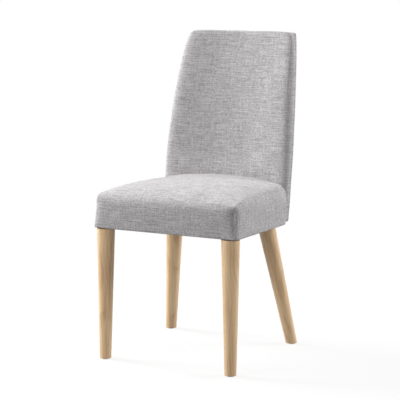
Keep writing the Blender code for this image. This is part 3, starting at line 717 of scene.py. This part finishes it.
seat_piece = part_of(closed_seat, "seat_cover_cloth", seat_hem_or_above)
bpy.data.objects.remove(closed_seat)
back_front = part_of(closed_back, "back_front_cloth", lambda centre, side: centre.y < BACK_SEAM)
back_rear = part_of(closed_back, "back_rear_cloth", lambda centre, side: centre.y >= BACK_SEAM)
bpy.data.objects.remove(closed_back)
for cover, matrix in ((seat_piece, SEAT), (back_front, BACK), (back_rear, BACK)):
    write(cover.data, moved(read(cover.data), matrix))
seat_tree = skin_tree(seat_piece)
back_tree = skin_tree(back_front, back_rear)
for cover in (seat_piece, back_front, back_rear):
    thicken(cover, FABRIC)
    smooth_shade(cover.data)


# Dust cover and webbing


def sheet_mesh(name, columns, rows, place):
    """A grid laid on a surface; place takes shares from 0 to 1 both ways."""
    across, along = np.meshgrid(np.linspace(0, 1, columns + 1), np.linspace(0, 1, rows + 1))
    points = np.stack(place(across.ravel(), along.ravel()), axis=1)
    wide = columns + 1
    faces = [
        (i * wide + j, i * wide + j + 1, (i + 1) * wide + j + 1, (i + 1) * wide + j)
        for i in range(rows)
        for j in range(columns)
    ]
    mesh = bpy.data.meshes.new(name)
    mesh.from_pydata(points.tolist(), [], faces)
    layer = mesh.uv_layers.new(name="cloth")
    corners = whole_numbers(mesh.loops, "vertex_index", len(mesh.loops))
    layer.data.foreach_set("uv", points[corners][:, :2].astype(np.float32).ravel())
    return mesh


def sheet_object(name, mesh, thickness):
    """A sheet with its thickness, moved from the seat's frame to the chair's."""
    item = new_object(name, mesh)
    thicken(item, thickness)
    write(item.data, moved(read(item.data), SEAT))
    smooth_shade(item.data)
    return item


def dust_place(across, along):
    """The cloth is tacked along its hem and sags a little in the middle."""
    y = DUST_COVER_INSET + along * (SEAT_DEPTH - 2 * DUST_COVER_INSET)
    half = seat_half_width(y) - DUST_COVER_INSET
    x = (2 * across - 1) * half
    free = np.minimum(np.minimum(half - np.abs(x), y - DUST_COVER_INSET), SEAT_DEPTH - DUST_COVER_INSET - y)
    middle = grown(free, DUST_SAG_IN)
    turns_x, turns_y = DUST_RIPPLE_TURNS
    ripple = DUST_RIPPLE * np.sin(x * turns_x) * np.sin(y * turns_y) * smooth_step(free / DUST_HEM)
    hem = DUST_HEM_DROP * smooth_step((DUST_HEM - free) / DUST_HEM_FOLD)
    return x, y, -CLEARANCE - DUST_SAG * middle - ripple * middle - hem


def make_dust_cover():
    """The dust cover, with a hole at each leg's bolt."""
    name = "dust_cover_cloth"
    mesh = sheet_mesh(name, DUST_COLUMNS, DUST_ROWS, dust_place)
    bolts = [SEAT.inverted() @ Vector(top) for top, _ in LEGS.values()]

    def at_bolt(face):
        centre = face.calc_center_median()
        return any((centre.xy - bolt.xy).length < BOLT_HOLE for bolt in bolts)

    bm = bmesh.new()
    bm.from_mesh(mesh)
    delete_faces(bm, at_bolt)
    bm.to_mesh(mesh)
    bm.free()
    return sheet_object(name, mesh, DUST_CLOTH)


def strap_height(at, start, stop, crossings, first_over, held):
    """How a strap rises and dips as it passes over and under the ones that cross it."""
    knots = [start, start + held]
    levels = [0.0, 0.0]
    over = first_over
    for crossing in crossings:
        knots += [crossing - STRAP_WIDTH / 2 - STRAP_EASE, crossing + STRAP_WIDTH / 2 + STRAP_EASE]
        levels += [STRAP_WEAVE * over] * 2
        over = -over
    knots += [stop - held, stop]
    levels += [0.0, 0.0]
    return np.interp(at, knots, levels)


def make_strap(name, along_y, centre, start, stop, crossings, first_over, held):
    """A strap along or across the seat, woven through the ones that cross it."""

    def place(across, along):
        at = start + along * (stop - start)
        off = (across - 0.5) * STRAP_WIDTH
        rise = strap_height(at, start, stop, crossings, first_over, held)
        selvedge = SELVEDGE_DROP * (np.abs(across - 0.5) > SELVEDGE_FROM)
        height = STRAP_LEVEL + STRAP_THICKNESS / 2 - STRAP_SHY + rise - selvedge
        return (centre + off, at, height) if along_y else (at, centre + off, height)

    mesh = sheet_mesh(name, STRAP_COLUMNS, int((stop - start) / STRAP_ROW), place)
    bm = bmesh.new()
    bm.from_mesh(mesh)
    bmesh.ops.recalc_face_normals(bm, faces=bm.faces[:])
    if sum(face.normal.z for face in bm.faces) < 0:
        bmesh.ops.reverse_faces(bm, faces=bm.faces[:])
    bm.to_mesh(mesh)
    bm.free()
    return sheet_object(name, mesh, STRAP_THICKNESS - 2 * STRAP_SHY)


dust_piece = make_dust_cover()
straps = {}
for i, centre in enumerate(LONG_STRAPS):
    title = f"webbing_long_{i + 1}"
    over = 1 if i % 2 else -1
    strap = make_strap(f"{title}_strap", True, centre, STRAP_START, STRAP_STOP, CROSS_STRAPS, over, LONG_HELD)
    straps[title] = (strap, STRAP_STOP - STRAP_START)
for i, centre in enumerate(CROSS_STRAPS):
    title = f"webbing_cross_{i + 1}"
    over = -1 if i % 2 else 1
    reach = seat_half_width(centre + STRAP_WIDTH / 2) - STRAP_SIDE_INSET
    strap = make_strap(f"{title}_strap", False, centre, -reach, reach, LONG_STRAPS, over, CROSS_HELD)
    straps[title] = (strap, 2 * reach)


# Foam and wadding under the covers


def pad_from(node, name, tree):
    """The part's own pad, welded, divided finer and held just inside the cover."""
    bm = bmesh.new()
    bm.from_mesh(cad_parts[node].data)
    bmesh.ops.remove_doubles(bm, verts=bm.verts[:], dist=PAD_WELD)
    for _ in range(PAD_DIVISIONS):
        long_edges = [edge for edge in bm.edges if edge.calc_length() > PAD_EDGE]
        bmesh.ops.subdivide_edges(bm, edges=long_edges, cuts=1)
        bmesh.ops.triangulate(bm, faces=[face for face in bm.faces if len(face.verts) > 3])
        bmesh.ops.dissolve_degenerate(bm, edges=bm.edges[:], dist=PAD_SLIVER)
    for vertex in bm.verts:
        on_skin, normal, _, _ = tree.find_nearest(vertex.co)
        if (vertex.co - on_skin).dot(normal) > -PAD_GAP:
            vertex.co = on_skin - normal * PAD_GAP
    mesh = bpy.data.meshes.new(name)
    bm.to_mesh(mesh)
    bm.free()
    smooth_shade(mesh)
    return new_object(name, mesh)


seat_pad = pad_from("seat_foam", "seat_foam_pad", seat_tree)
back_pad = pad_from("back_foam", "back_foam_pad", back_tree)
back_wadding = pad_from("back_rear_padding", "back_wadding_pad", back_tree)


# Materials


class Shader:
    """A material's node tree, with short calls for its nodes."""

    def __init__(self, name, **sockets):
        self.material = bpy.data.materials.new(name)
        self.material.use_nodes = True
        self.tree = self.material.node_tree
        self.surface = self.tree.nodes["Principled BSDF"]
        for socket, value in sockets.items():
            self.set(socket.replace("_", " "), value)

    def set(self, socket, value):
        self.fill(self.surface.inputs[socket], value)

    def fill(self, socket, value):
        if isinstance(value, bpy.types.NodeSocket):
            self.tree.links.new(value, socket)
        else:
            socket.default_value = value

    def node(self, kind, inputs=(), output=0, **settings):
        made = self.tree.nodes.new("ShaderNode" + kind)
        for name, value in settings.items():
            setattr(made, name, value)
        for key, value in dict(inputs).items():
            self.fill(made.inputs[key], value)
        return made.outputs[output]

    def place(self):
        """A point's place in the object's own coordinates, which are the chair's."""
        return self.node("TexCoord", output=3)

    def math(self, operation, *values, clamp=False):
        return self.node("Math", dict(enumerate(values)), operation=operation, use_clamp=clamp)

    def plus(self, rest, value, share, clamp=False):
        """The rest and a share of the value."""
        return self.math("MULTIPLY_ADD", value, share, rest, clamp=clamp)

    def split(self, vector):
        return self.node("SeparateXYZ", {0: vector}).node.outputs

    def noise(self, vector, scale, shift=(0.0, 0.0, 0.0), detail=2.0, rough=0.5):
        """Noise with scale features per metre along each axis, read from a shifted place."""
        mapped = self.node("Mapping", {"Vector": vector, "Scale": scale, "Location": shift})
        return self.node("TexNoise", {"Vector": mapped, "Scale": 1.0, "Detail": detail, "Roughness": rough})

    def weave(self, laid, pitch):
        """Rises and falls of the threads of a plain weave."""
        turns = 2 * math.pi / pitch
        waves = [self.math("SINE", self.math("MULTIPLY", axis, turns)) for axis in self.split(laid)[:2]]
        return self.math("MULTIPLY", *waves)

    def range(self, value, low, high, to_low=0.0, to_high=1.0):
        inputs = {"Value": value, "From Min": low, "From Max": high, "To Min": to_low, "To Max": to_high}
        return self.node("MapRange", inputs, interpolation_type="SMOOTHSTEP")

    def mix(self, share, first, second):
        return self.node("Mix", {0: share, 6: first, 7: second}, output=2, data_type="RGBA")

    def bump(self, height, distance, strength):
        inputs = {"Height": height, "Distance": distance, "Strength": strength}
        self.set("Normal", self.node("Bump", inputs))


# Each noise of the linen: its features per metre across and along the cloth, and where it is read
WEFT = ((17.0, 350.0, 1.0), (0.0, 0.0, 0.0))
WARP = ((350.0, 17.0, 1.0), (5.3, 2.1, 0.0))
SLUB_GRAIN = ((190.0, 330.0, 1.0), (2.9, 6.1, 0.0))
WEFT_YARN = ((70.0, 1000.0, 1.0), (1.3, 7.7, 0.0))
WARP_YARN = ((1000.0, 70.0, 1.0), (9.1, 4.2, 0.0))
LINEN_CLOUD = ((34.0, 34.0, 1.0), (3.7, 3.9, 0.0))
FLECK = ((38.0, 460.0, 1.0), (8.3, 1.9, 0.0))
FLECK_RANGE = (0.60, 0.72)
LINEN_THREAD = 0.0016

# Each share of the linen's tone, from its dark to its light colour
WARP_SHARE = 0.55
SLUB_TONE = 1.45
YARN_TONE = 1.1
CLOUD_TONE = 0.20
FLECK_TONE = -0.45
LINEN_TONE = -2.52

# Shares of the linen's relief, beside the yarn's
SLUB_HEIGHT = 1.2
WEAVE_HEIGHT = 0.35


def linen(name, light, dark):
    """A slubbed plain weave in light grey."""
    shader = Shader(name, Roughness=0.86, Specular_IOR_Level=0.25, Sheen_Weight=0.05, Sheen_Roughness=0.45)
    laid = shader.node("UVMap", uv_map="cloth")
    slub = shader.plus(shader.noise(laid, *WEFT), shader.noise(laid, *WARP), WARP_SHARE)
    slub = shader.math("ADD", slub, shader.noise(laid, *SLUB_GRAIN, rough=0.55))
    yarns = [shader.noise(laid, *threads, detail=1.0) for threads in (WEFT_YARN, WARP_YARN)]
    yarn = shader.math("ADD", *yarns)
    fleck = shader.range(shader.noise(laid, *FLECK, detail=1.0), *FLECK_RANGE)
    tone = shader.plus(LINEN_TONE, yarn, YARN_TONE)
    tone = shader.plus(tone, slub, SLUB_TONE)
    tone = shader.plus(tone, shader.noise(laid, *LINEN_CLOUD, rough=0.6), CLOUD_TONE)
    tone = shader.plus(tone, fleck, FLECK_TONE, clamp=True)
    shader.set("Base Color", shader.mix(tone, dark, light))
    height = shader.plus(yarn, slub, SLUB_HEIGHT)
    height = shader.plus(height, shader.weave(laid, LINEN_THREAD), WEAVE_HEIGHT)
    shader.bump(height, 0.0005, 0.16)
    return shader.material


# Wood: how far the tree's heart lies off a piece's axis and slants to it, where late wood sets in and stops
# in a ring, and each noise's features per metre across and along the grain
HEART_OFF = (0.034, 0.012)
HEART_SLANT = math.radians(1.6)
LATE_WOOD = (0.35, 0.92)
RING_END = (0.92, 1.0)
WAVER = (20.0, 20.0, 4.5)
WAVER_DEPTH = 0.034
FIBRE = (650.0, 650.0, 9.0)
STREAK = (150.0, 150.0, 6.0)
STREAK_SHIFT = 4.0
PATCH = (26.0, 26.0, 9.0)
PORE = (900.0, 900.0, 30.0)
PORE_RANGE = (0.62, 0.78)

# Each share of the wood's tone, from its light to its dark colour
RING_TONE = 0.42
FIBRE_TONE = 0.50
STREAK_TONE = 1.7
PATCH_TONE = 1.1
PORE_TONE = 0.25
WOOD_TONE = -1.57


def wood(name, top, foot, turn, light, dark, ring, shift, **sockets):
    """Straight-grained timber whose rings run along the line from top to foot."""
    shader = Shader(name, **sockets)
    axis = (Vector(foot) - Vector(top)).to_track_quat("-Z", "Y").to_matrix()
    grain = axis @ Matrix.Rotation(turn, 3, "Z") @ Matrix.Rotation(HEART_SLANT, 3, "X")
    inputs = {"Vector": shader.place(), "Location": top, "Rotation": grain.to_euler()}
    local = shader.node("Mapping", inputs, vector_type="TEXTURE")
    off = [shader.math("ADD", side, heart) for side, heart in zip(shader.split(local), HEART_OFF)]
    radius = shader.math("SQRT", shader.math("ADD", *(shader.math("POWER", side, 2.0) for side in off)))
    radius = shader.plus(radius, shader.noise(local, WAVER, (shift, 0.0, 0.0)), WAVER_DEPTH)
    phase = shader.math("FRACT", shader.math("DIVIDE", radius, ring))
    band = shader.math("SUBTRACT", shader.range(phase, *LATE_WOOD), shader.range(phase, *RING_END))
    fibre = shader.noise(local, FIBRE, (0.0, shift, 0.0), detail=3.0, rough=0.6)
    streak = shader.noise(local, STREAK, (shift, STREAK_SHIFT, 0.0), rough=0.6)
    patch = shader.noise(local, PATCH, (shift, shift, 0.0))
    pores = shader.range(shader.noise(local, PORE, detail=1.0), *PORE_RANGE)
    tone = shader.plus(WOOD_TONE, fibre, FIBRE_TONE)
    tone = shader.plus(tone, band, RING_TONE)
    tone = shader.plus(tone, streak, STREAK_TONE)
    tone = shader.plus(tone, patch, PATCH_TONE)
    tone = shader.plus(tone, pores, PORE_TONE, clamp=True)
    shader.set("Base Color", shader.mix(tone, light, dark))
    shader.bump(shader.plus(shader.math("MULTIPLY", fibre, 0.3), pores, -1.0), 0.0002, 0.5)
    return shader.material


# Features per metre of the inner materials, and the pitch of the webbing's threads
FOAM_CELLS = 420.0
FOAM_CLOUD = (30.0, 30.0, 30.0)
STRAP_THREAD = 0.0024
STRAP_FIBRE = (700.0, 700.0, 1.0)
FELT_FIBRE = (500.0, 380.0, 300.0)
FELT_DOTS = 650.0
PLATE_PATCH = (260.0, 260.0, 260.0)
PLATE_MARKS = (90.0, 90.0, 2600.0)
NYLON_SCUFF = (900.0, 340.0, 340.0)


def foam(name, light, dark):
    """Open cells of cut foam, or the felted fibres of wadding."""
    shader = Shader(name, Roughness=0.95, Specular_IOR_Level=0.15)
    place = shader.place()
    cells = shader.node("TexVoronoi", {"Vector": place, "Scale": FOAM_CELLS})
    cloud = shader.math("MULTIPLY", shader.noise(place, FOAM_CLOUD), 0.5)
    shader.set("Base Color", shader.mix(shader.plus(cloud, cells, 0.6, clamp=True), light, dark))
    shader.bump(cells, 0.0008, 0.6)
    return shader.material


def woven_strap(name, light, dark):
    """Elastic webbing in a plain weave."""
    shader = Shader(name, Roughness=0.7, Specular_IOR_Level=0.3, Sheen_Weight=0.15)
    laid = shader.node("UVMap", uv_map="cloth")
    weave = shader.weave(laid, STRAP_THREAD)
    shade = shader.plus(shader.noise(laid, STRAP_FIBRE), weave, 0.3, clamp=True)
    shader.set("Base Color", shader.mix(shade, dark, light))
    shader.bump(weave, 0.0006, 0.7)
    return shader.material


def felted(name, light, dark):
    """Thin non-woven cloth with its grid of bonded points."""
    shader = Shader(name, Roughness=0.9, Specular_IOR_Level=0.2)
    place = shader.place()
    fibre = shader.math("MULTIPLY", shader.noise(place, FELT_FIBRE, detail=3.0, rough=0.6), 0.7)
    dots = shader.node("TexVoronoi", {"Vector": place, "Scale": FELT_DOTS, "Randomness": 0.15})
    shade = shader.plus(fibre, dots, 0.4, clamp=True)
    shader.set("Base Color", shader.mix(shade, dark, light))
    shader.bump(shade, 0.0003, 0.5)
    return shader.material


def plated(name, light, dark):
    """Zinc plate with faint turning marks and dulled patches."""
    shader = Shader(name, Metallic=1.0)
    place = shader.place()
    patch = shader.noise(place, PLATE_PATCH, detail=3.0, rough=0.6)
    shader.set("Base Color", shader.mix(patch, dark, light))
    shader.set("Roughness", shader.range(patch, 0.3, 0.7, 0.28, 0.46))
    shader.bump(shader.noise(place, PLATE_MARKS, detail=1.0), 0.00008, 0.5)
    return shader.material


def moulded(name, light, dark):
    """Moulded nylon, scuffed where it meets the floor."""
    shader = Shader(name, Specular_IOR_Level=0.4)
    scuff = shader.noise(shader.place(), NYLON_SCUFF, detail=3.0, rough=0.6)
    shader.set("Base Color", shader.mix(shader.range(scuff, 0.45, 0.75), light, dark))
    shader.set("Roughness", shader.range(scuff, 0.3, 0.7, 0.38, 0.6))
    shader.bump(scuff, 0.0001, 0.4)
    return shader.material


# Dressing the pieces


def dress(item, material):
    item.data.materials.clear()
    item.data.materials.append(material)


def colours(light, dark):
    return (*light, 1.0), (*dark, 1.0)


seat_linen = linen("seat_linen", *colours((0.72, 0.70, 0.708), (0.32, 0.311, 0.315)))
for piece, node in (
    (seat_piece, "seat_cover"),
    (back_front, "back_front_cover"),
    (back_rear, "back_rear_cover"),
):
    dress(piece, seat_linen)
    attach(piece, "root")
    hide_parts(node)

FOAM = colours((0.84, 0.78, 0.55), (0.66, 0.58, 0.36))
WADDING = colours((0.88, 0.88, 0.86), (0.70, 0.70, 0.68))
for piece, node, slot, fill, material in (
    (seat_pad, "seat_foam", "foam", 1.0, foam("seat_foam_cells", *FOAM)),
    (back_pad, "back_foam", "foam", 1.0, foam("back_foam_cells", *FOAM)),
    (back_wadding, "back_rear_padding", "wadding", 0.8, foam("wadding_fibre", *WADDING)),
):
    dress(piece, material)
    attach(piece, "root")
    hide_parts(node)

dress(dust_piece, felted("dust_cloth", *colours((0.035, 0.035, 0.037), (0.012, 0.012, 0.013))))
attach(dust_piece, "root")
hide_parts("dust_cover")

strap_weave = woven_strap("strap_weave", *colours((0.17, 0.17, 0.18), (0.06, 0.06, 0.065)))
for node, (strap, length) in straps.items():
    dress(strap, strap_weave)
    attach(strap, "root")
    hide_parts(node)

# Lines that the frame's grain follows, and the width of a growth ring
X_LINE = ((0.3, 0.02, 0.40), (-0.3, 0.02, 0.40))
Y_LINE = ((0.02, 0.3, 0.40), (0.02, -0.3, 0.40))
Z_LINE = ((0.02, 0.16, 0.90), (0.02, 0.14, 0.30))
FRAME_RING = 0.0034
PLY_RING = 0.009
LEG_RING = 0.0068

# Degrees that the first leg's grain is turned by, then each further leg's, and how far apart they are read
LEG_TURN = 70
LEG_TURN_STEP = 95
LEG_SHIFT_STEP = 3.3

FRAME_WOOD = colours((0.56, 0.42, 0.27), (0.38, 0.26, 0.15))
PLYWOOD = colours((0.66, 0.50, 0.33), (0.50, 0.36, 0.22))
ASH = colours((0.93, 0.66, 0.385), (0.64, 0.385, 0.195))
SAWN = {"Roughness": 0.78, "Specular_IOR_Level": 0.3}
LACQUERED = {"Roughness": 0.42, "Coat_Weight": 0.15, "Coat_Roughness": 0.3}

across_wood = wood("frame_wood_across", *X_LINE, 0.4, *FRAME_WOOD, FRAME_RING, 1.0, **SAWN)
along_wood = wood("frame_wood_along", *Y_LINE, 0.9, *FRAME_WOOD, FRAME_RING, 2.0, **SAWN)
upright_wood = wood("frame_wood_upright", *Z_LINE, 1.7, *FRAME_WOOD, FRAME_RING, 4.0, **SAWN)
plywood = wood("bent_plywood", *Z_LINE, 0.2, *PLYWOOD, PLY_RING, 6.0, **SAWN)
zinc = plated("zinc_plate", *colours((0.68, 0.68, 0.66), (0.50, 0.50, 0.50)))
nylon = moulded("glide_nylon", *colours((0.74, 0.72, 0.66), (0.52, 0.50, 0.45)))
for material, words in (
    (across_wood, ("seat_front_rail", "seat_rear_rail", "dowel_left_rail", "dowel_right_rail")),
    (across_wood, ("back_lower_rail", "back_middle_rail", "back_top_rail")),
    (along_wood, ("seat_left_rail", "seat_right_rail", "dowel_front_rail", "dowel_rear_rail")),
    (upright_wood, ("corner_block", "_stile")),
    (plywood, ("back_panel",)),
    (zinc, ("hanger_bolt", "tee_nut", "back_bolt", "back_washer")),
    (nylon, ("foot_glide",)),
):
    for name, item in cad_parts.items():
        if any(word in name for word in words):
            item.material_slots[0].material = material

for number, (name, (top, foot)) in enumerate(LEGS.items()):
    turn = math.radians(LEG_TURN + LEG_TURN_STEP * number)
    ash = wood(f"{name}_ash", top, foot, turn, *ASH, LEG_RING, LEG_SHIFT_STEP * number, **LACQUERED)
    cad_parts[name].material_slots[0].material = ash


# Studio

WHITE = (1.0, 1.0, 1.0, 1.0)
WORLD_LIGHT = 0.25
FLOOR_REACH = 2.4
FLOOR_SIDES = 96
FLOOR_FADE = (0.75, 1.5)
FLOOR_WHITE = 0.85
FLOOR_SEEN = (0.92, 0.92, 0.92, 1.0)
FLOOR_BOUNCE = (0.30, 0.30, 0.30, 1.0)
LAMP_SIZE = 1.6
LAMP_AIM = Vector((0.0, -0.05, 0.45))
CAMERA_PLACE = (1.8196, -3.5397, 1.0515)
CAMERA_TURN = (math.radians(80.98), 0.0, math.radians(27.46))
CAMERA_LENS = 130.8
CAMERA_SENSOR = 36.0

# Each lamp's place and watts
LAMPS = {
    "left": ((-3.38, -0.37, 2.57), 180.0),
    "front": ((-2.02, -3.22, 1.82), 45.0),
    "right": ((3.06, 1.90, 2.14), 98.0),
    "top": ((0.0, -0.05, 4.45), 16.0),
}


def seen_directly(tree):
    """1 for camera, glossy and transmission rays, 0 for the rays that light the object."""
    path = tree.nodes.new("ShaderNodeLightPath")
    seen = path.outputs["Is Camera Ray"]
    for kind in ("Is Glossy Ray", "Is Transmission Ray"):
        either = tree.nodes.new("ShaderNodeMath")
        either.operation = "MAXIMUM"
        tree.links.new(seen, either.inputs[0])
        tree.links.new(path.outputs[kind], either.inputs[1])
        seen = either.outputs[0]
    return seen


def mixed(tree, share, first, second):
    """One shader mixed with a share of another."""
    made = tree.nodes.new("ShaderNodeMixShader")
    for socket, source in zip(made.inputs, (share, first, second)):
        tree.links.new(source, socket)
    return made.outputs[0]


def white_background(node, strength):
    node.inputs["Color"].default_value = WHITE
    node.inputs["Strength"].default_value = strength
    return node.outputs[0]


def make_world():
    """A weak white light from all round, which the camera sees as plain white."""
    world = bpy.data.worlds.new("studio")
    world.use_nodes = True
    tree = world.node_tree
    lit = white_background(tree.nodes["Background"], WORLD_LIGHT)
    seen = white_background(tree.nodes.new("ShaderNodeBackground"), 1.0)
    tree.links.new(mixed(tree, seen_directly(tree), lit, seen), tree.nodes["World Output"].inputs["Surface"])
    bpy.context.scene.world = world


def make_floor():
    """A pale floor that keeps the chair's shadow and fades out into the white round it."""
    bm = bmesh.new()
    bmesh.ops.create_circle(bm, cap_ends=True, radius=FLOOR_REACH, segments=FLOOR_SIDES)
    mesh = bpy.data.meshes.new("floor")
    bm.to_mesh(mesh)
    bm.free()
    floor = new_object("floor", mesh)
    shader = Shader("floor_pale", Roughness=1.0, Specular_IOR_Level=0.0)
    tree = shader.tree
    seen = seen_directly(tree)
    shader.set("Base Color", shader.mix(seen, FLOOR_BOUNCE, FLOOR_SEEN))
    away = shader.node("VectorMath", {0: shader.place()}, output=1, operation="LENGTH")
    white = shader.node("Emission", {"Strength": 1.0})
    pale = mixed(tree, shader.math("MULTIPLY", seen, FLOOR_WHITE), shader.surface.outputs[0], white)
    faded = mixed(tree, shader.range(away, *FLOOR_FADE), pale, shader.node("BsdfTransparent"))
    tree.links.new(faded, tree.nodes["Material Output"].inputs["Surface"])
    dress(floor, shader.material)


def make_lamp(name, where, power):
    lamp = bpy.data.lights.new(name, "AREA")
    lamp.shape = "RECTANGLE"
    lamp.size = lamp.size_y = LAMP_SIZE
    lamp.energy = power
    item = new_object(name, lamp)
    item.location = where
    item.rotation_euler = (LAMP_AIM - Vector(where)).to_track_quat("-Z", "Y").to_euler()


def make_camera():
    lens = bpy.data.cameras.new("camera")
    lens.sensor_width = CAMERA_SENSOR
    lens.lens = CAMERA_LENS
    camera = new_object("camera", lens)
    camera.location = CAMERA_PLACE
    camera.rotation_euler = CAMERA_TURN
    bpy.context.scene.camera = camera


make_world()
make_floor()
for name, (where, power) in LAMPS.items():
    make_lamp(name, where, power)
make_camera()
bpy.context.scene.view_settings.view_transform = "Standard"
